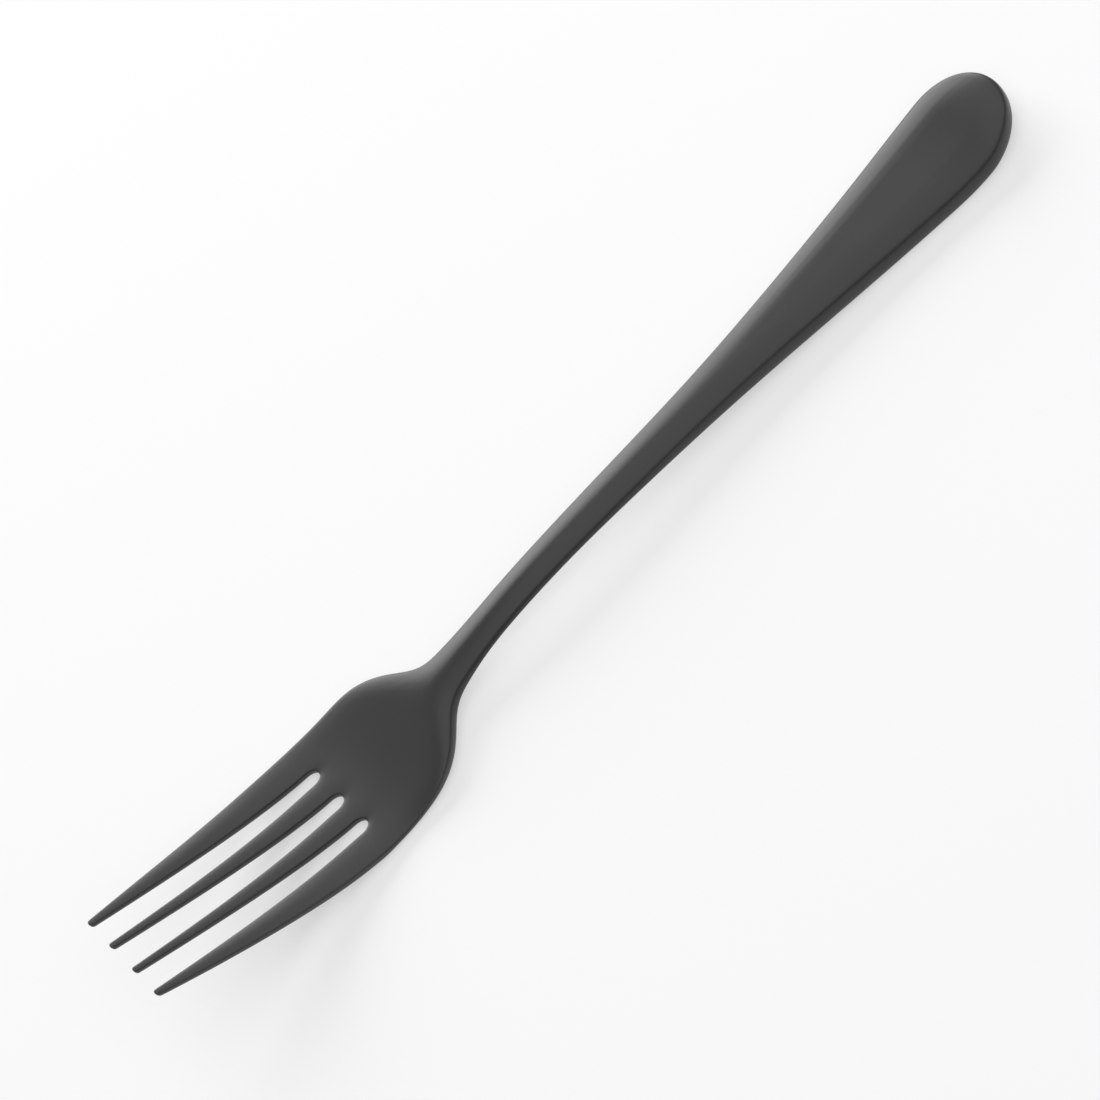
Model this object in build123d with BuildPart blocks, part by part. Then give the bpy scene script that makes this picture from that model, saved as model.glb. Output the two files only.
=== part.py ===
"""Four-tined dinner fork, forged from one blank of stainless steel and coated matte black.

The fork lies on a table with its hollow side up. X runs from the tine tips to the handle
end, Z is up, and the origin is on the table under the middle of the length. Millimetres.
"""

import os
from math import exp

from build123d import *

# Lengths, seen from above
LENGTH = 195.0  # tine tips to handle end
TINE_LENGTH = 41.7  # tips to the round roots of the slots
SHOULDER = 26.8  # slot roots to the foot of the neck
NECK_LENGTH = 44.0  # foot of the neck to where the handle begins
WAIST = 15.0  # foot of the neck to its narrowest place
END_ROUND = 11.2  # length of the elliptical handle end
BELLY = 19.5  # handle end to the lowest place of the handle, which rests on the table

# Widths
HANDLE_WIDTH = 18.1
NECK_WIDTH = 6.28
HEAD_WIDTH = 26.5
SLOT_WIDTH = 2.75  # at the roots; the slots widen towards the tips
SLOT_PITCH = 6.4  # between slots at the roots
TIP_WIDTH = 1.3
INNER_TIP = 3.1  # tips of the inner tines from the centre line
OUTER_TIP = 9.05  # tips of the outer tines from the centre line

# Heights, and thicknesses at the edges
TIP_LIFT = 15.55  # underside of the tips above the table
ARCH = 4.72  # underside of the neck above the table
END_LIFT = 2.3  # underside of the handle end above the table
TIP_THICK = 0.95
HEAD_THICK = 1.5
NECK_THICK = 1.5
HANDLE_THICK = 3.2
CROWN = 0.8  # rise of the top from the edges to the middle, on a very wide handle
HEAD_CROWN = 0.05  # the same on the head
TOP_EDGE = 0.4  # broken upper edges
EDGE = 0.3  # broken lower edges, and all edges of the tines
REST = 0.06  # depth of the flats that the fork rests on, under handle and head

# Places along the fork
tip = -LENGTH / 2
end = LENGTH / 2
root = tip + TINE_LENGTH
foot = root + SHOULDER
waist = foot + WAIST
handle_start = foot + NECK_LENGTH
widest = end - END_ROUND
belly = end - BELLY
low = root + 5.2  # lowest place of the head, which rests on the table
slot_centre = root - SLOT_WIDTH / 2
taper = belly - waist  # the long taper of the neck and handle
tine_seam = slot_centre - 0.5
widest_lift = 0.19 * END_LIFT  # underside of the handle at its widest place
end_slope = (END_LIFT - widest_lift) / END_ROUND  # upturn of the handle end

# Half of the outline seen from above, from the handle end to the tip of an outer tine
half_neck = NECK_WIDTH / 2
half_head = HEAD_WIDTH / 2
half_end = HANDLE_WIDTH / 2
rise = half_head - half_neck  # of the shoulder, from neck to head
flare = half_end - half_neck  # of the shaft, from waist to handle
shaft = widest - waist
outer_tip_edge = OUTER_TIP + TIP_WIDTH / 2

with BuildLine() as half_outline:
    EllipticalCenterArc((widest, 0), END_ROUND, half_end, start_angle=0, arc_size=90)
    Spline(
        (widest, half_end),
        (widest - 0.093 * shaft, half_neck + 0.883 * flare),
        (widest - 0.322 * shaft, half_neck + 0.480 * flare),
        (widest - 0.551 * shaft, half_neck + 0.168 * flare),
        (widest - 0.781 * shaft, half_neck + 0.051 * flare),
        (waist, half_neck),
        tangents=[(-1, 0), (-1, 0)],
    )
    Spline(
        (waist, half_neck),
        (foot + 5.0, half_neck + 0.013 * rise),
        (foot - 0.6, half_neck + 0.075 * rise),
        (foot - 4.4, half_neck + 0.235 * rise),
        (foot - 7.3, half_neck + 0.519 * rise),
        (foot - 10.2, half_neck + 0.749 * rise),
        (foot - 14.0, half_neck + 0.917 * rise),
        (foot - 19.0, half_neck + 0.976 * rise),
        (root + 1.4, half_head),
        tangents=[(-1, 0), (-1, 0)],
    )
    Spline(
        (root + 1.4, half_head),
        (root - 0.45 * TINE_LENGTH, half_head - 0.31 * (half_head - outer_tip_edge)),
        (tip, outer_tip_edge),
        tangents=[(-1, 0), (-1, -0.14)],
    )


# Side view of the underside and of the upper edges: place, height, thickness at the edges
side = [
    (tip, TIP_LIFT, TIP_THICK),
    (tip + 0.32 * TINE_LENGTH, 0.607 * TIP_LIFT, 0.6 * TIP_THICK + 0.4 * HEAD_THICK),
    (tip + 0.65 * TINE_LENGTH, 0.250 * TIP_LIFT, 0.1 * TIP_THICK + 0.9 * HEAD_THICK),
    (root - 3.0, 0.056 * TIP_LIFT, HEAD_THICK),
    (low, -0.5 * REST, HEAD_THICK),
    (foot - 14.0, 0.17 * ARCH, 0.85 * HEAD_THICK + 0.15 * NECK_THICK),
    (foot - 6.0, 0.355 * ARCH, 0.45 * HEAD_THICK + 0.55 * NECK_THICK),
    (foot + 3.0, 0.69 * ARCH, 0.1 * HEAD_THICK + 0.9 * NECK_THICK),
    (waist, 0.965 * ARCH, NECK_THICK),
    (waist + 0.11 * taper, ARCH, NECK_THICK),
    (waist + 0.34 * taper, 0.70 * ARCH, 0.63 * NECK_THICK + 0.37 * HANDLE_THICK),
    (waist + 0.64 * taper, 0.235 * ARCH, 0.15 * NECK_THICK + 0.85 * HANDLE_THICK),
    (belly, -REST, HANDLE_THICK),
    (widest, widest_lift, HANDLE_THICK),
]

with BuildLine() as underside:
    Spline(*[(x, under) for x, under, thick in side], tangents=[(1, -0.47), (1, end_slope)])

with BuildLine() as upper_edge:
    Spline(*[(x, under + thick) for x, under, thick in side], tangents=[(1, -0.45), (1, end_slope)])


def reading(curve, x):
    """Distance of a drawn curve from its base line at a place along the fork."""
    square = Axis((x, 0, 0), (0, 1, 0))
    return max(p.Y for edge in curve.edges() for p in edge.find_intersection_points(square))


def crown(x, half):
    """Rise of the top from the edges to the centre line: slight on the head, full on the neck."""
    s = min(max((x - foot + 23.0) / 24.0, 0.0), 1.0)
    full = CROWN * (1 - exp(-half / 2.0))
    return HEAD_CROWN + (full - HEAD_CROWN) * s * s * (3 - 2 * s)


def rim(half, under, edge):
    """Section from one upper edge down, across the underside and up to the other upper edge."""
    right = [
        (half - EDGE, under),
        (half, under + EDGE),
        (half, edge - TOP_EDGE),
        (half - TOP_EDGE, edge),
    ]
    return [(-y, z) for y, z in reversed(right)] + right


# Handle, neck and head as one run of sections at an even pitch, from one pitch ahead of the seam
pitches = 30
with BuildPart() as body:
    for number in range(-1, pitches):
        x = tine_seam + number * (widest - tine_seam) / pitches
        half = reading(half_outline, x)
        edge = reading(upper_edge, x)
        with BuildSketch(Plane.YZ.offset(x)):
            with BuildLine():
                points = rim(half, reading(underside, x), edge)
                Polyline(*points)
                ThreePointArc(points[-1], (0, edge + crown(x, half)), points[0])
            make_face()
    # The last section leans with the upturn of the handle end
    lean = Plane((widest, 0, widest_lift), x_dir=(0, 1, 0), z_dir=(1, 0, end_slope))
    last = rim(half_end, 0, HANDLE_THICK)
    crest = HANDLE_THICK + crown(widest, half_end)
    with BuildSketch(lean):
        with BuildLine():
            Polyline(*last)
            ThreePointArc(last[-1], (0, crest), last[0])
        make_face()
    loft()

# The handle end: that section turned half round, then drawn out to an ellipse
with BuildPart() as end_cap:
    with BuildSketch(Plane.YZ):
        with BuildLine():
            outer = last[4:]
            Polyline((0, crest), (0, 0), *outer)
            TangentArc((0, crest), outer[-1], tangent=(1, 0))
        make_face()
    revolve(axis=Axis((0, 0, 0), (0, 0, -1)), revolution_arc=180)
    reach = END_ROUND * (1 + end_slope**2) ** 0.5 + EDGE * end_slope  # measured along the lean
    scale(by=(reach / half_end, 1, 1))

with BuildPart() as handle:
    add(body.part)
    split(bisect_by=Plane.YZ.offset(handle_start), keep=Keep.TOP)
    with Locations(lean * Plane.YZ.location.inverse()):
        add(end_cap.part)
    split(bisect_by=Plane.XY, keep=Keep.TOP)

with BuildPart() as neck:
    add(body.part)
    split(bisect_by=Plane.YZ.offset(handle_start), keep=Keep.BOTTOM)
    split(bisect_by=Plane.YZ.offset(foot), keep=Keep.TOP)

# Slots: centre at the root, then the two sides at the tips
inner_low = INNER_TIP - TIP_WIDTH / 2
inner_high = INNER_TIP + TIP_WIDTH / 2
outer_low = OUTER_TIP - TIP_WIDTH / 2
slots = [
    (-SLOT_PITCH, -outer_low, -inner_high),
    (0, -inner_low, inner_low),
    (SLOT_PITCH, inner_high, outer_low),
]

with BuildPart() as head:
    add(body.part)
    split(bisect_by=Plane.YZ.offset(foot), keep=Keep.BOTTOM)
    split(bisect_by=Plane.YZ.offset(tine_seam), keep=Keep.TOP)
    with BuildSketch(Plane.XY.offset(-5)):
        for centre, near, far in slots:
            with BuildLine():
                left = Line((tip, near), (slot_centre, centre - SLOT_WIDTH / 2))
                right = Line((tip, far), (slot_centre, centre + SLOT_WIDTH / 2))
                ThreePointArc(left @ 1, (root, centre), right @ 1)
                Line(left @ 0, right @ 0)
            make_face()
    extrude(amount=20, mode=Mode.SUBTRACT)
    split(bisect_by=Plane.XY, keep=Keep.TOP)

os.makedirs("parts", exist_ok=True)

handle.part.label = "handle"
export_step(handle.part, "parts/handle.step")

neck.part.label = "neck"
export_step(neck.part, "parts/neck.step")

head.part.label = "head"
export_step(head.part, "parts/head.step")


def slot_side(x, at_root, at_tip):
    """Sideways place of a slot's straight side."""
    return at_tip + (at_root - at_tip) * (x - tip) / (slot_centre - tip)


def tine_sides(number, x):
    """Both sides of a tine at a place along it, counted from the right."""
    if number == 0:
        low_side = -reading(half_outline, x)
    else:
        low_side = slot_side(x, slots[number - 1][0] + SLOT_WIDTH / 2, slots[number - 1][2])
    if number == 3:
        high_side = reading(half_outline, x)
    else:
        high_side = slot_side(x, slots[number][0] - SLOT_WIDTH / 2, slots[number][1])
    return low_side, high_side


for number in range(4):
    with BuildPart() as tine:
        for step in range(6):
            x = tine_seam + (tip + 0.6 - tine_seam) * step / 5
            low_side, high_side = tine_sides(number, x)
            width = high_side - low_side
            thick = reading(upper_edge, x) - reading(underside, x)
            height = reading(underside, x) + thick / 2
            middle = (low_side + high_side) / 2
            with BuildSketch(Plane((x, middle, height), x_dir=(0, 1, 0), z_dir=(1, 0, 0))):
                Rectangle(width, thick)
                chamfer(vertices(), min(EDGE, 0.3 * width))
        loft()
        # The tip: the last section drawn in over two short steps
        for place, size in ((tip + 0.6, 1.0), (tip + 0.2, 0.82), (tip, 0.5)):
            drop = (tip + 0.6 - place) * 0.47
            with BuildSketch(Plane((place, middle, height + drop), x_dir=(0, 1, 0), z_dir=(1, 0, 0))):
                Rectangle(width * size, thick * size)
                chamfer(vertices(), min(EDGE, 0.3 * width) * size)
        loft(ruled=True)
    tine.part.label = f"tine_{number + 1}"
    export_step(tine.part, f"parts/tine_{number + 1}.step")
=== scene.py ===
"""Dinner fork with a matte black coating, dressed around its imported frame.

The fork is one closed mesh. A net of quads is laid out in plan, with the three slots left out
of it. One copy of the net makes the top and one the underside, and a wall of three bands joins
them along the outline and the slots. A Subdivision Surface modifier then rounds it all.
"""

import math
from types import SimpleNamespace

import bpy
import numpy as np
from mathutils import Matrix, Vector


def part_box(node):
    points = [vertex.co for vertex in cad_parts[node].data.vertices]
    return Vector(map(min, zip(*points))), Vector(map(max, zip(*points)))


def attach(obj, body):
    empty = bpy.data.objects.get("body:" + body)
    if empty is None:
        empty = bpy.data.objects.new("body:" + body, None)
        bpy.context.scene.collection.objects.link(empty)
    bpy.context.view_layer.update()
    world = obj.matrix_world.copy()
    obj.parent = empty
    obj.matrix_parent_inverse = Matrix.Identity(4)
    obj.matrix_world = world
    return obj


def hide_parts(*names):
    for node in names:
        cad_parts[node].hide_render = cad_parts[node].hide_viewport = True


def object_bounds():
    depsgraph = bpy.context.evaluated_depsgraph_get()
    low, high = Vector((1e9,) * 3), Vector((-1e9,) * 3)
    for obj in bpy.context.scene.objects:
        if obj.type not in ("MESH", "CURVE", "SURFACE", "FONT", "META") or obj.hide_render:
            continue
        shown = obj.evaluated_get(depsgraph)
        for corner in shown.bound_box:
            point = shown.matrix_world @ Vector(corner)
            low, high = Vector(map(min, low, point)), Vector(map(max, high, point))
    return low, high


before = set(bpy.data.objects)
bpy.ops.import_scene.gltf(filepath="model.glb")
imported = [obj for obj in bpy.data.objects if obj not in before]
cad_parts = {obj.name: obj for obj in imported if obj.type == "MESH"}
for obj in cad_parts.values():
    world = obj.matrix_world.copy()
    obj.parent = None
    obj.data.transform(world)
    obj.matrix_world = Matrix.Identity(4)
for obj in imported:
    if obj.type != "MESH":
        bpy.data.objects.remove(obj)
CAD_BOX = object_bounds()

bl_info = {
    "name": "Matte black dinner fork",
    "version": (1, 0, 0),
    "blender": (4, 5, 0),
    "location": "View3D > Sidebar > Fork",
    "description": "Builds a dinner fork with a matte black coating, and a plain stage for it",
    "category": "Add Mesh",
}

MM = 0.001
NODES = ("handle", "neck", "head", "tine_1", "tine_2", "tine_3", "tine_4")

# Outline: its slope at the tips, and its widest place on the head, past the slots' roots
TIP_FLARE = 0.14
BROADEST = 1.4 * MM
# The tines' one point between their ends: share of their length before the slots' roots, and
# share of the way from the head's half width to the tips'
TINE_OUTLINE = (0.45, 0.31)
# The shoulder's points: distance before the foot of the neck, and share of the way from the
# neck's half width to the head's
SHOULDER_OUTLINE = (
    (19.0 * MM, 0.976),
    (14.0 * MM, 0.898),
    (10.2 * MM, 0.722),
    (7.3 * MM, 0.489),
    (4.4 * MM, 0.195),
    (0.6 * MM, 0.064),
    (-5.0 * MM, 0.013),
)
# The shaft's points: share of its length before the handle's widest place, and share of the way
# from the neck's half width to the handle's
SHAFT_OUTLINE = (
    (0.781, 0.051),
    (0.551, 0.168),
    (0.322, 0.480),
    (0.093, 0.883),
)
# How much wider the handle is than its solid
HANDLE_EXTRA = 0.3 * MM

# Side view: slopes at the tips, and the share of the end's lift at the handle's widest place
TIP_SLOPE_UNDER = -0.47
TIP_SLOPE_EDGE = -0.45
WIDEST_LIFT = 0.19

# Cross section: where the neck's section starts and is complete, before the foot of the neck
NECK_FROM = 16.0 * MM
NECK_TO = 3.0 * MM
# Half widths over which the top's rise and roll grow
HEAD_CROWN_REACH = 1.8 * MM
CROWN_REACH = 2.1 * MM
ROLL_REACH = 3.5 * MM
# Power of the roll, and what a neck loses of it, in full at the narrow half width and not at all
# at the wide one
ROLL_POWER = 2.0
NECK_POWER_LOSS = 0.34
NARROW_HALF = 3.0 * MM
WIDE_HALF = 6.0 * MM
# How far the upper edges are rounded down the wall: on the head a share of their rounding, on
# neck and handle a share of the thickness, and how much less that is at the handle end
HEAD_DROP = 0.6
SHAFT_DROP = 0.32
END_DROP_LOSS = 0.2

# Rows of the net near the tips, along the tines, and over head, shaft and handle end, which has
# a corner at this angle of its ellipse
NEAR_TIP = np.array([0.0, 0.7, 1.8]) * MM
LONG_RUN_START = 4.0 * MM
TINE_ROWS = 12
ROOT_TO_HEAD = 2.3 * MM
HEAD_ROWS = 12
SHAFT_ROWS = 26
END_ROWS = 5
END_CORNER = math.radians(45.0)
# Columns of the net: four on each tine and two in each slot, at shares of its width, and which of
# them lie in the slots and on the sides of the tines
ACROSS_TINE = np.array([0.0, 0.35, 0.65, 1.0])
ACROSS_SLOT = np.array([0.227, 0.773])
SLOT_COLUMN = np.tile([False, False, False, False, True, True], 4)[:-2]
EDGE_COLUMN = np.tile([True, False, False, True, False, False], 4)[:-2]
# The slots' places in pitches from the middle, and both sides of each slot
SLOT_PLACES = np.array([-1, 0, 1])
SLOT_SIDES = np.tile([-1, 1], 3)
# A slot's root spreads and bows by shares of its radius, and the bow fades over three rows
ROOT_SPREAD = 0.1
ROOT_DEPTH = 1.04
ROOT_FADE = np.array([1.0, 0.45, 0.12])
# Set-back of a tip's corners, largest share of a tine's width to pull in, step to measure slopes
TIP_BLUNT = 0.15 * MM
MOST_INSET = 0.27
SLOPE_STEP = 0.05 * MM
# Levels of the Subdivision Surface modifier
SMOOTHING = 2

# Coating: specular level, scale of the slow drift, and share by which the drift changes the shade
COAT_SPECULAR = 0.42
DRIFT_SCALE = 45.0
SHADE_DRIFT = 0.03

# Stage, in metres: half the floor's side, place, width and height of the softboxes, camera's aim
FLOOR_REACH = 4.0
KEY_BOX = ((0.1, 1.24, 0.46), 1.6, 0.92)
TOP_BOX = ((0.3, -0.25, 1.2), 2.1, 1.8)
AIM = (-4.79 * MM, 0.135 * MM, 6.02 * MM)
# Width of the camera's sensor in millimetres
SENSOR = 36.0


def length(label, text, default):
    """A length that a user can change, in metres."""
    return bpy.props.FloatProperty(
        name=label, description=text, default=default, min=0.0, subtype="DISTANCE", unit="LENGTH"
    )


def share(label, text, default):
    """A value from 0 to 1 that a user can change."""
    return bpy.props.FloatProperty(
        name=label, description=text, default=default, min=0.0, max=1.0, subtype="FACTOR"
    )


def colour(label, text, default):
    """A linear colour that a user can change."""
    return bpy.props.FloatVectorProperty(
        name=label, description=text, default=default, min=0.0, max=1.0, size=3, subtype="COLOR"
    )


def watts(label, text, default):
    """A lamp's power that a user can change."""
    return bpy.props.FloatProperty(name=label, description=text, default=default, unit="POWER")


def degrees(label, text, default):
    """An angle that a user can change, given in degrees and kept in radians."""
    return bpy.props.FloatProperty(
        name=label, description=text, default=math.radians(default), subtype="ANGLE"
    )


class ForkSizes(bpy.types.PropertyGroup):
    """Sizes of the fork; the outer ones come from the frame."""

    overall: length("Length", "Tine tips to handle end", CAD_BOX[1].x - CAD_BOX[0].x)
    tine_length: length("Tine length", "Tips to the round roots of the slots", 41.7 * MM)
    shoulder: length("Shoulder", "Slot roots to the foot of the neck", 26.8 * MM)
    waist: length("Waist", "Foot of the neck to its narrowest place", 15.0 * MM)
    end_round: length("Rounded end", "Length of the elliptical handle end", 11.2 * MM)
    belly: length("Belly", "Handle end to the place where the handle rests", 19.5 * MM)
    handle_width: length(
        "Handle width", "Widest place of the handle", 2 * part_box("handle")[1].y + HANDLE_EXTRA
    )
    neck_width: length("Neck width", "Narrowest place of the neck", 6.5 * MM)
    head_width: length("Head width", "Widest place of the head", 2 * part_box("head")[1].y)
    slot_width: length("Slot width", "Width of the slots at their roots", 2.45 * MM)
    slot_pitch: length("Slot pitch", "Between the slots at their roots", 6.4 * MM)
    slot_bow: length("Slot bow", "Bow of the sides of the slots at mid length", 0.08 * MM)
    tip_width: length("Tip width", "Width of a tine at its tip", 1.15 * MM)
    inner_tip: length("Inner tips", "Inner tips from the centre line", 3.1 * MM)
    outer_tip: length("Outer tips", "Outer tips from the centre line", 8.93 * MM)
    tip_lift: length("Tip lift", "Underside of the tips above the table", 15.08 * MM)
    arch: length("Arch", "Underside of the neck above the table", 4.72 * MM)
    end_lift: length("End lift", "Underside of the handle end above the table", 2.2 * MM)
    tip_thick: length("Tip thickness", "Thickness at the edges of the tips", 1.3 * MM)
    tine_thick: length("Tine thickness", "Thickness at the edges of the tines' roots", 1.7 * MM)
    head_thick: length("Head thickness", "Thickness at the edges of the head", 1.5 * MM)
    shoulder_thick: length("Shoulder thickness", "Thickness at the shoulder's edges", 2.45 * MM)
    neck_thick: length("Neck thickness", "Thickness at the edges of the neck", 1.5 * MM)
    handle_thick: length("Handle thickness", "Thickness at the edges of the handle", 3.35 * MM)
    crown: length("Crown", "Rise from the edges to the middle of a wide handle", 1.13 * MM)
    roll: length("Roll", "Width of the rolled edge of a wide handle", 6.0 * MM)
    head_crown: length("Head crown", "Rise of the top from the edges of the head", 0.18 * MM)
    head_roll: length("Head roll", "Width of the rolled edge of the head", 2.5 * MM)
    top_edge: length("Upper edges", "Rounding of the upper edges of neck and handle", 0.42 * MM)
    head_edge: length("Head edges", "Rounding of the upper edges of head and tines", 0.18 * MM)
    low_edge: length("Lower edges", "Rounding of the lower edges past the tines", 0.5 * MM)
    tine_edge: length("Tine edges", "Rounding of the lower edges of the tines", 0.3 * MM)


class ForkFinish(bpy.types.PropertyGroup):
    """Look of the coating."""

    coat: colour("Coat", "Colour of the coating", (0.035, 0.035, 0.0355))
    roughness: share("Roughness", "Roughness of the coating", 0.36)
    unevenness: share("Unevenness", "How much the roughness drifts over the surface", 0.03)
    grain: length("Grain", "Size of the coating's fine grain", 0.12 * MM)
    grain_depth: length("Grain depth", "Height of the grain", 0.002 * MM)


class ForkStage(bpy.types.PropertyGroup):
    """Floor, light and camera."""

    floor: colour("Floor", "Colour of the floor", (0.97, 0.97, 0.97))
    backdrop: share("Backdrop", "Share of plain white in the floor as it is seen", 0.5)
    key: watts("Key", "Power of the low softbox on the far side", 23.5)
    top: watts("Top", "Power of the softbox overhead", 13.0)
    fill: share("Fill", "Even light from all round", 0.15)
    tilt: degrees("Tilt", "Camera's tilt from straight above", 33.0)
    turn: degrees("Turn", "Turn of the handle in the picture", 46.99)
    distance: length("Distance", "Camera to fork", 1.1)
    lens: bpy.props.FloatProperty(
        name="Lens", description="Focal length in millimetres", default=227.9, unit="CAMERA"
    )


def smooth_through(points, start, end, at):
    """Heights of a cubic curve through points, with set slopes at both ends.

    The slopes at the inner points are those at which the bend doesn't jump from one stretch to
    the next, which is one set of linear equations. Each stretch is the cubic that has the
    heights and slopes of its two points.
    """
    x, y = np.array(points, float).T
    gap = np.diff(x)
    rate = np.diff(y) / gap
    system = np.eye(len(x))
    inner = np.arange(1, len(x) - 1)
    system[inner, inner - 1] = 1 / gap[:-1]
    system[inner, inner] = 2 / gap[:-1] + 2 / gap[1:]
    system[inner, inner + 1] = 1 / gap[1:]
    bends = 3 * (rate[:-1] / gap[:-1] + rate[1:] / gap[1:])
    slope = np.linalg.solve(system, np.concatenate(([start], bends, [end])))
    i = np.clip(np.searchsorted(x, at) - 1, 0, len(gap) - 1)
    t = (at - x[i]) / gap[i]
    from_left = (1 - t) ** 2 * ((1 + 2 * t) * y[i] + t * gap[i] * slope[i])
    from_right = t**2 * ((3 - 2 * t) * y[i + 1] - (1 - t) * gap[i] * slope[i + 1])
    return from_left + from_right


def ease(x, start, end):
    """Soft step from 0 to 1: three times the square less twice the cube of the way covered."""
    t = np.clip((x - start) / (end - start), 0.0, 1.0)
    return t * t * (3 - 2 * t)


def mix(a, b, part):
    """The first value plus a part of the way to the second."""
    return a + (b - a) * part


def places(s):
    """Places along the fork: lengths counted on from the tips, or back from the handle end."""
    p = SimpleNamespace(tip=CAD_BOX[0].x)
    p.end = p.tip + s.overall
    p.root = p.tip + s.tine_length
    p.slot_centre = p.root - s.slot_width / 2
    p.broadest = p.root + BROADEST
    p.foot = p.root + s.shoulder
    p.waist = p.foot + s.waist
    p.widest = p.end - s.end_round
    p.belly = p.end - s.belly
    return p


def half_width(s, p, x):
    """Half of the outline's width: smooth curves along tines, shoulder, shaft, then an ellipse."""
    neck, head, end = s.neck_width / 2, s.head_width / 2, s.handle_width / 2
    rise, flare, shaft = head - neck, end - neck, p.widest - p.waist
    tip = s.outer_tip + s.tip_width / 2
    before_root, towards_tip = TINE_OUTLINE
    on_tines = (p.root - before_root * s.tine_length, head - towards_tip * (head - tip))
    on_shoulder = [(p.foot - before, neck + part * rise) for before, part in SHOULDER_OUTLINE]
    on_shaft = [(p.widest - before * shaft, neck + part * flare) for before, part in SHAFT_OUTLINE]
    return np.select(
        [x < p.broadest, x < p.waist, x < p.widest],
        [
            smooth_through([(p.tip, tip), on_tines, (p.broadest, head)], TIP_FLARE, 0.0, x),
            smooth_through([(p.broadest, head), *on_shoulder, (p.waist, neck)], 0.0, 0.0, x),
            smooth_through([(p.waist, neck), *on_shaft, (p.widest, end)], 0.0, 0.0, x),
        ],
        end * np.sqrt(np.clip(1 - ((x - p.widest) / s.end_round) ** 2, 0.0, 1.0)),
    )


def side_view(s, p, x):
    """Heights of the underside and of the upper edges, both smooth curves along the length.

    Past the handle's widest place both rise in a straight line. The underside stops at the
    table, so the two heights just below it make the resting flats.
    """
    taper = p.belly - p.waist
    widest_lift = WIDEST_LIFT * s.end_lift
    end_slope = (s.end_lift - widest_lift) / s.end_round
    tip, tine, head, shoulder = s.tip_thick, s.tine_thick, s.head_thick, s.shoulder_thick
    neck, handle = s.neck_thick, s.handle_thick
    # Place along the fork, height of the underside, thickness at the edges
    rows = [
        (p.tip, s.tip_lift, tip),
        (p.tip + 0.32 * s.tine_length, 0.601 * s.tip_lift, 0.6 * tip + 0.4 * tine),
        (p.tip + 0.65 * s.tine_length, 0.241 * s.tip_lift, 0.1 * tip + 0.9 * tine),
        (p.root - 3.0 * MM, 0.037 * s.tip_lift, tine),
        (p.root + 5.2 * MM, -0.03 * MM, head),
        (p.foot - 14.0 * MM, 0.106 * s.arch, 0.37 * head + 0.63 * shoulder),
        (p.foot - 6.0 * MM, 0.254 * s.arch, shoulder),
        (p.foot + 3.0 * MM, 0.69 * s.arch, neck),
        (p.waist, 0.965 * s.arch, neck),
        (p.waist + 0.11 * taper, s.arch, neck),
        (p.waist + 0.34 * taper, 0.70 * s.arch, 0.63 * neck + 0.37 * handle),
        (p.waist + 0.64 * taper, 0.235 * s.arch, 0.15 * neck + 0.85 * handle),
        (p.belly, -0.06 * MM, handle),
        (p.widest, widest_lift, handle),
    ]
    low = [(place, under) for place, under, thick in rows]
    high = [(place, under + thick) for place, under, thick in rows]
    past = np.clip(x - p.widest, 0.0, None) * end_slope
    within = np.minimum(x, p.widest)
    under = smooth_through(low, TIP_SLOPE_UNDER, end_slope, within) + past
    edge = smooth_through(high, TIP_SLOPE_EDGE, end_slope, within) + past
    return np.maximum(under, 0.0), edge


def neck_share(p, x):
    """How much of the neck's rounded section a place has: none on the head, all on the neck."""
    return ease(x, p.foot - NECK_FROM, p.foot - NECK_TO)


def top_height(s, p, x, inside, half):
    """Height of the top: the edge plus a roll that rises with the distance inside the edge.

    A power of the share of the roll that is still to come is missing from the full rise, so the
    top is level past the roll. Along neck and handle the rise and the roll grow with the half
    width, each as one less a falling exponential; on head and tines the rise grows with its
    square up to a limit. The power is two, and less on a narrow neck.
    """
    bare = neck_share(p, x)
    head_rise = s.head_crown * np.minimum(half / HEAD_CROWN_REACH, 1.0) ** 2
    rise = mix(head_rise, s.crown * (1 - np.exp(-half / CROWN_REACH)), bare)
    width = mix(s.head_roll, s.roll * (1 - np.exp(-half / ROLL_REACH)), bare)
    to_come = 1 - np.clip(inside / np.minimum(width, half), 0.0, 1.0)
    power = ROLL_POWER - NECK_POWER_LOSS * bare * (1 - ease(half, NARROW_HALF, WIDE_HALF))
    return side_view(s, p, x)[1] + rise * (1 - to_come**power)


def interleave(tines, slots):
    """Columns of the tines and slots side by side, in their order across the fork."""
    pairs = np.concatenate((tines[:, :3], slots), axis=2)
    return np.concatenate((pairs.reshape(len(pairs), -1), tines[:, 3]), axis=1)


def tine_sides(s, p, x):
    """Both sides of each tine: on the outline outside, and along the slots straight but for a bow.

    The bow is four times its depth, times the share of the way from tip to root, times the rest.
    """
    way = ((x - p.tip) / (p.slot_centre - p.tip))[:, None]
    inner_low, inner_high = s.inner_tip - s.tip_width / 2, s.inner_tip + s.tip_width / 2
    outer_low = s.outer_tip - s.tip_width / 2
    at_tip = np.array([-outer_low, -inner_high, -inner_low, inner_low, inner_high, outer_low])
    at_root = np.repeat(s.slot_pitch * SLOT_PLACES, 2) + SLOT_SIDES / 2 * s.slot_width
    bow = 4 * way * (1 - way) * s.slot_bow * SLOT_SIDES
    inner = at_tip + way * (at_root - at_tip) + bow
    outer = half_width(s, p, x)[:, None]
    return np.concatenate((-outer, inner, outer), axis=1).reshape(-1, 4, 2)


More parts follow.
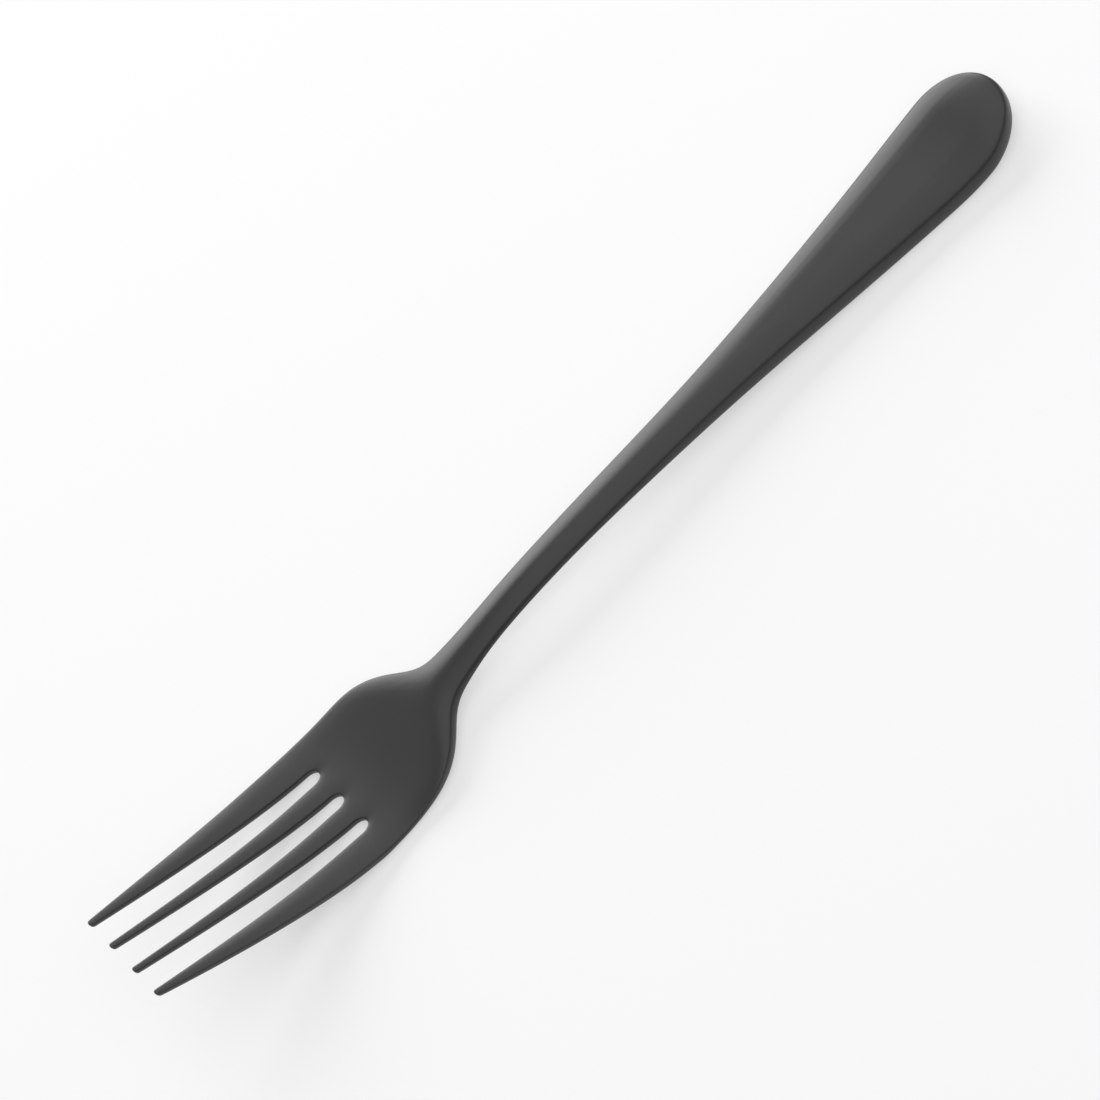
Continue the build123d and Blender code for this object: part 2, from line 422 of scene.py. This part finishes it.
def tine_net(s, p, x, inset):
    """Net over the tines: places across, distances inside the nearest side, and half widths.

    The columns keep their shares of each tine between its pulled-in sides, and of the gap from
    one tine to the next. The last row lies at the slots' roots, and spreads there.
    """
    sides = tine_sides(s, p, x)
    sides.reshape(-1, 8)[-1, 1:7] += ROOT_SPREAD * s.slot_width / 2 * SLOT_SIDES
    width = np.diff(sides, axis=2)
    pulled = sides + np.minimum(inset, MOST_INSET * width) * np.array([1, -1])
    gaps = pulled.reshape(-1, 8)[:, 1:7].reshape(-1, 3, 2)
    on_tines = pulled[:, :, :1] + np.diff(pulled, axis=2) * ACROSS_TINE
    in_slots = gaps[:, :, :1] + np.diff(gaps, axis=2) * ACROSS_SLOT
    to_side = np.minimum(on_tines - sides[:, :, :1], sides[:, :, 1:] - on_tines)
    y = interleave(on_tines, in_slots)
    inside = interleave(to_side, np.zeros_like(in_slots))
    tine_half = np.repeat(width / 2, len(ACROSS_TINE), axis=2)
    slot_half = np.repeat(width[:, :3] / 2, len(ACROSS_SLOT), axis=2)
    return y, inside, interleave(tine_half, slot_half)


def body_net(s, p, x, columns, inset):
    """Net over head and shaft: places across, distances inside the outline, and half widths.

    The columns keep their shares of the width. Inset and distance are square to the outline.
    Across the fork they measure more, by the root of one plus the square of the outline's slope.
    """
    half_line = half_width(s, p, x)
    slope = (half_line - half_width(s, p, x - SLOPE_STEP)) / SLOPE_STEP
    lean = np.sqrt(1 + slope**2)[:, None]
    half = np.repeat(half_line[:, None], len(columns), axis=1)
    y = (half - inset[:, None] * lean) * columns
    inside = (half - np.abs(y)) / lean
    return y, inside, half


def end_net(s, p, columns, inset):
    """Net over the handle end: places along and across, distances inside, and half widths.

    The rows start at even angles round the ellipse, from its widest place to the corner, and
    bow more and more, until the last lies on the ellipse from corner to corner. A distance inside
    is the half width times the share of the way from the ellipse's middle that is still to come.
    """
    angle = np.linspace(math.radians(90.0), END_CORNER, END_ROWS + 1)[1:, None]
    bow = np.cos(angle) / math.cos(END_CORNER)
    bulge = np.sqrt(1 - (math.sin(END_CORNER) * columns) ** 2) - math.cos(END_CORNER)
    x = p.widest + (s.end_round - inset) * (np.cos(angle) + bow * bulge)
    y = (s.handle_width / 2 - inset) * np.sin(angle) * columns
    half = np.full_like(y, s.handle_width / 2)
    inside = half * (1 - np.hypot(y / half, (x - p.widest) / s.end_round))
    return x, y, inside, half


def plan_net(s, p, tine_inset, head_inset, shaft_inset):
    """Net of quads in plan, pulled in from the outline by the insets.

    Rows follow each other from the tips to the handle end, and columns across. The inset goes
    from the head's to the shaft's with the neck's share. At a slot's root the row spreads and
    bows, so that smoothing makes a half circle of it, and the next two rows bow less. Each point
    also gets its distance inside the nearest edge or slot, and half the width there.
    """
    radius = s.slot_width / 2
    long_run = np.linspace(p.tip + LONG_RUN_START, p.slot_centre - radius, TINE_ROWS)
    tine_x = np.concatenate((p.tip + NEAR_TIP, long_run, [p.slot_centre]))
    head_x = np.linspace(p.slot_centre + ROOT_TO_HEAD, p.foot, HEAD_ROWS)
    body_x = np.concatenate((head_x, np.linspace(p.foot, p.widest, SHAFT_ROWS)[1:]))
    body_inset = mix(head_inset, shaft_inset, neck_share(p, body_x))
    end_inset = mix(head_inset, shaft_inset, neck_share(p, p.end))

    tine_y, tine_inside, tine_half = tine_net(s, p, tine_x, tine_inset)
    columns = tine_y[-1] / tine_y[-1, -1]
    body_y, body_inside, body_half = body_net(s, p, body_x, columns, body_inset)
    end_x, end_y, end_inside, end_half = end_net(s, p, columns, end_inset)
    plain_x = np.repeat(np.concatenate((tine_x, body_x))[:, None], len(columns), axis=1)

    root = len(tine_x) - 1
    net = SimpleNamespace(root_row=root)
    net.x = np.concatenate((plain_x, end_x))
    net.y = np.concatenate((tine_y, body_y, end_y))
    net.half = np.concatenate((tine_half, body_half, end_half))
    depth = ROOT_DEPTH * (radius + tine_inset)
    net.x[root : root + len(ROOT_FADE), SLOT_COLUMN] += depth * ROOT_FADE[:, None]
    net.x[0] += tine_inset
    net.x[0, EDGE_COLUMN] += TIP_BLUNT

    inside = np.concatenate((tine_inside, body_inside, end_inside))
    past = net.x[root:, :, None] - p.slot_centre
    aside = net.y[root:, :, None] - s.slot_pitch * SLOT_PLACES
    to_slots = np.min(np.hypot(past, aside), axis=2) - radius
    inside[root:] = np.minimum(inside[root:], to_slots)
    net.inside = np.clip(inside, 0.0, None)
    return net


def fork_surface(s):
    """Vertices and quads of the fork: top, underside and the walls between them.

    The net is laid four times: pulled in for the top and for the underside, and on the outline
    itself for the two rows of the wall, which lie below the rounding of the upper edges and
    above that of the lower ones. A net edge with a quad on one side only is on the outline or on
    a slot, and carries three wall quads.
    """
    p = places(s)
    top = plan_net(s, p, s.head_edge, s.head_edge, s.top_edge)
    low = plan_net(s, p, s.tine_edge, s.low_edge, s.low_edge)
    out = plan_net(s, p, 0.0, 0.0, 0.0)
    rows, columns = out.x.shape
    row = np.arange(rows)[:, None]
    under, edge = side_view(s, p, out.x)
    shaft_drop = (SHAFT_DROP - END_DROP_LOSS * ease(out.x, p.widest, p.end)) * (edge - under)
    drop = mix(HEAD_DROP * s.head_edge, shaft_drop, neck_share(p, out.x))
    lower_edge = np.where(row <= out.root_row, s.tine_edge, s.low_edge)
    layers = (
        (top.x, top.y, top_height(s, p, top.x, top.inside, top.half)),
        (out.x, out.y, edge - drop),
        (out.x, out.y, under + lower_edge),
        (low.x, low.y, side_view(s, p, low.x)[0]),
    )
    vertices = np.concatenate([np.stack(layer, axis=2).reshape(-1, 3) for layer in layers])

    number = np.arange(rows * columns).reshape(rows, columns)
    corners = (number[:-1, :-1], number[1:, :-1], number[1:, 1:], number[:-1, 1:])
    in_slot = SLOT_COLUMN[:-1] | SLOT_COLUMN[1:]
    filled = ~(in_slot & (row[:-1] < out.root_row))
    net = np.stack(corners, axis=2)[filled]
    start = net.ravel()
    finish = np.roll(net, -1, axis=1).ravel()
    pair = np.minimum(start, finish) * number.size + np.maximum(start, finish)
    _, first, count = np.unique(pair, return_index=True, return_counts=True)
    rim = first[count == 1]
    a, b = start[rim], finish[rim]
    offset = number.size * np.arange(len(layers))
    walls = [
        np.stack((b + above, a + above, a + below, b + below), axis=1)
        for above, below in zip(offset[:-1], offset[1:])
    ]
    faces = np.concatenate([net, net[:, ::-1] + offset[-1]] + walls)
    used, renumbered = np.unique(faces, return_inverse=True)
    return vertices[used], renumbered.reshape(faces.shape)


def add_node(tree, kind, values=(), **settings):
    """A shader node with its settings and the values of its unlinked inputs."""
    node = tree.nodes.new(kind)
    for name, value in settings.items():
        setattr(node, name, value)
    for name, value in values:
        node.inputs[name].default_value = value
    return node


def coat_material(f):
    """Matte black coating: a fine grain in the normal, and a slow drift of shade and roughness."""
    material = bpy.data.materials.new("matte_black_coat")
    material.use_nodes = True
    tree = material.node_tree
    link = tree.links.new
    coat = tree.nodes["Principled BSDF"]
    coat.inputs["Metallic"].default_value = 0.0
    coat.inputs["Specular IOR Level"].default_value = COAT_SPECULAR
    where = add_node(tree, "ShaderNodeTexCoord")

    drift = add_node(
        tree,
        "ShaderNodeTexNoise",
        (("Scale", DRIFT_SCALE), ("Detail", 3.0), ("Roughness", 0.5)),
    )
    link(where.outputs["Object"], drift.inputs["Vector"])
    rough = add_node(
        tree,
        "ShaderNodeMapRange",
        (
            ("From Min", 0.3),
            ("From Max", 0.7),
            ("To Min", f.roughness - f.unevenness),
            ("To Max", f.roughness + f.unevenness),
        ),
    )
    link(drift.outputs["Fac"], rough.inputs["Value"])
    link(rough.outputs["Result"], coat.inputs["Roughness"])

    shade = add_node(tree, "ShaderNodeMix", data_type="RGBA")
    shade.inputs["A"].default_value = (*[c * (1 - SHADE_DRIFT) for c in f.coat], 1.0)
    shade.inputs["B"].default_value = (*[c * (1 + SHADE_DRIFT) for c in f.coat], 1.0)
    link(drift.outputs["Fac"], shade.inputs["Factor"])
    link(shade.outputs["Result"], coat.inputs["Base Color"])

    grain = add_node(tree, "ShaderNodeTexNoise", (("Scale", 1.0 / f.grain), ("Detail", 2.0)))
    link(where.outputs["Object"], grain.inputs["Vector"])
    bump = add_node(tree, "ShaderNodeBump", (("Strength", 0.5), ("Distance", f.grain_depth)))
    link(grain.outputs["Fac"], bump.inputs["Height"])
    link(bump.outputs["Normal"], coat.inputs["Normal"])
    return material


class FORK_OT_forge(bpy.types.Operator):
    """Build the fork's surface, smooth it and coat it"""

    bl_idname = "fork.forge"
    bl_label = "Forge fork"

    def execute(self, context):
        vertices, faces = fork_surface(context.scene.fork_sizes)
        mesh = bpy.data.meshes.new("fork")
        mesh.from_pydata(vertices.tolist(), [], faces.tolist())
        mesh.polygons.foreach_set("use_smooth", np.ones(len(faces), bool))
        mesh.materials.append(coat_material(context.scene.fork_finish))
        mesh.update()
        fork = bpy.data.objects.new("fork", mesh)
        context.scene.collection.objects.link(fork)
        smooth = fork.modifiers.new("rounding", "SUBSURF")
        smooth.levels = SMOOTHING
        smooth.render_levels = SMOOTHING
        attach(fork, "root")
        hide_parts(*NODES)
        return {"FINISHED"}


def floor_material(stage):
    """Plain pale floor, mixed with white where it is seen, so that its shadow is faint."""
    material = bpy.data.materials.new("pale_floor")
    material.use_nodes = True
    tree = material.node_tree
    link = tree.links.new
    surface = tree.nodes["Principled BSDF"]
    surface.inputs["Base Color"].default_value = (*stage.floor, 1.0)
    surface.inputs["Roughness"].default_value = 0.9
    surface.inputs["Specular IOR Level"].default_value = 0.0
    rays = add_node(tree, "ShaderNodeLightPath")
    direct = add_node(tree, "ShaderNodeMath", operation="ADD")
    link(rays.outputs["Is Camera Ray"], direct.inputs[0])
    link(rays.outputs["Is Glossy Ray"], direct.inputs[1])
    seen = add_node(tree, "ShaderNodeMath", operation="ADD", use_clamp=True)
    link(direct.outputs["Value"], seen.inputs[0])
    link(rays.outputs["Is Transmission Ray"], seen.inputs[1])
    part = add_node(tree, "ShaderNodeMath", ((1, stage.backdrop),), operation="MULTIPLY")
    link(seen.outputs["Value"], part.inputs[0])
    white = add_node(tree, "ShaderNodeEmission", (("Strength", 1.0),))
    mixed = add_node(tree, "ShaderNodeMixShader")
    link(part.outputs["Value"], mixed.inputs["Fac"])
    link(surface.outputs["BSDF"], mixed.inputs[1])
    link(white.outputs["Emission"], mixed.inputs[2])
    link(mixed.outputs["Shader"], tree.nodes["Material Output"].inputs["Surface"])
    return material


def add_softbox(scene, name, place, width, height, power):
    """A rectangular lamp that faces the fork and stays out of the camera's sight."""
    lamp = bpy.data.lights.new(name, "AREA")
    lamp.shape = "RECTANGLE"
    lamp.size = width
    lamp.size_y = height
    lamp.energy = power
    box = bpy.data.objects.new(name, lamp)
    box.location = place
    box.rotation_euler = Vector(place).to_track_quat("Z", "Y").to_euler()
    box.visible_camera = False
    scene.collection.objects.link(box)


def add_camera(scene, stage):
    """A camera at its distance from the aim, tilted from straight above.

    It is rolled by the turn, so that the handle points to the upper right of the picture.
    """
    away = Vector((0.0, -math.sin(stage.tilt), math.cos(stage.tilt)))
    far = Vector((0.0, math.cos(stage.tilt), math.sin(stage.tilt)))
    along = Vector((1.0, 0.0, 0.0))
    right = math.cos(stage.turn) * along - math.sin(stage.turn) * far
    up = math.sin(stage.turn) * along + math.cos(stage.turn) * far
    lens = bpy.data.cameras.new("camera")
    lens.sensor_width = SENSOR
    lens.lens = stage.lens
    camera = bpy.data.objects.new("camera", lens)
    axes = Matrix((right, up, away)).transposed().to_4x4()
    camera.matrix_world = Matrix.Translation(Vector(AIM) + away * stage.distance) @ axes
    scene.collection.objects.link(camera)
    scene.camera = camera


class FORK_OT_stage(bpy.types.Operator):
    """Set up the floor, the light and the camera"""

    bl_idname = "fork.stage"
    bl_label = "Set stage"

    def execute(self, context):
        scene = context.scene
        stage = scene.fork_stage
        scene.view_settings.view_transform = "Standard"

        corners = [
            (-FLOOR_REACH, -FLOOR_REACH, 0.0),
            (FLOOR_REACH, -FLOOR_REACH, 0.0),
            (FLOOR_REACH, FLOOR_REACH, 0.0),
            (-FLOOR_REACH, FLOOR_REACH, 0.0),
        ]
        sheet = bpy.data.meshes.new("floor")
        sheet.from_pydata(corners, [], [(0, 1, 2, 3)])
        sheet.materials.append(floor_material(stage))
        floor = bpy.data.objects.new("floor", sheet)
        scene.collection.objects.link(floor)

        world = bpy.data.worlds.new("even_light")
        world.use_nodes = True
        sky = world.node_tree.nodes["Background"]
        sky.inputs["Color"].default_value = (1.0, 1.0, 1.0, 1.0)
        sky.inputs["Strength"].default_value = stage.fill
        scene.world = world
        add_softbox(scene, "key_softbox", *KEY_BOX, stage.key)
        add_softbox(scene, "top_softbox", *TOP_BOX, stage.top)
        add_camera(scene, stage)
        return {"FINISHED"}


class FORK_PT_panel(bpy.types.Panel):
    """Lists the fork's operators and settings"""

    bl_idname = "FORK_PT_panel"
    bl_label = "Dinner fork"
    bl_space_type = "VIEW_3D"
    bl_region_type = "UI"
    bl_category = "Fork"

    def draw(self, context):
        scene = context.scene
        for operator, settings in (
            (FORK_OT_forge, (scene.fork_sizes, scene.fork_finish)),
            (FORK_OT_stage, (scene.fork_stage,)),
        ):
            self.layout.operator(operator.bl_idname)
            for group in settings:
                for name in group.__annotations__:
                    self.layout.prop(group, name)


CLASSES = (ForkSizes, ForkFinish, ForkStage, FORK_OT_forge, FORK_OT_stage, FORK_PT_panel)


def register():
    """Registers the classes and gives each scene the fork's settings."""
    for item in CLASSES:
        bpy.utils.register_class(item)
    bpy.types.Scene.fork_sizes = bpy.props.PointerProperty(type=ForkSizes)
    bpy.types.Scene.fork_finish = bpy.props.PointerProperty(type=ForkFinish)
    bpy.types.Scene.fork_stage = bpy.props.PointerProperty(type=ForkStage)


def unregister():
    """Takes the settings and the classes away again, in the opposite order."""
    del bpy.types.Scene.fork_stage
    del bpy.types.Scene.fork_finish
    del bpy.types.Scene.fork_sizes
    for item in reversed(CLASSES):
        bpy.utils.unregister_class(item)


def main():
    """Registers the classes, then builds the fork and its stage."""
    register()
    bpy.ops.fork.forge()
    bpy.ops.fork.stage()


if __name__ == "__main__":
    main()
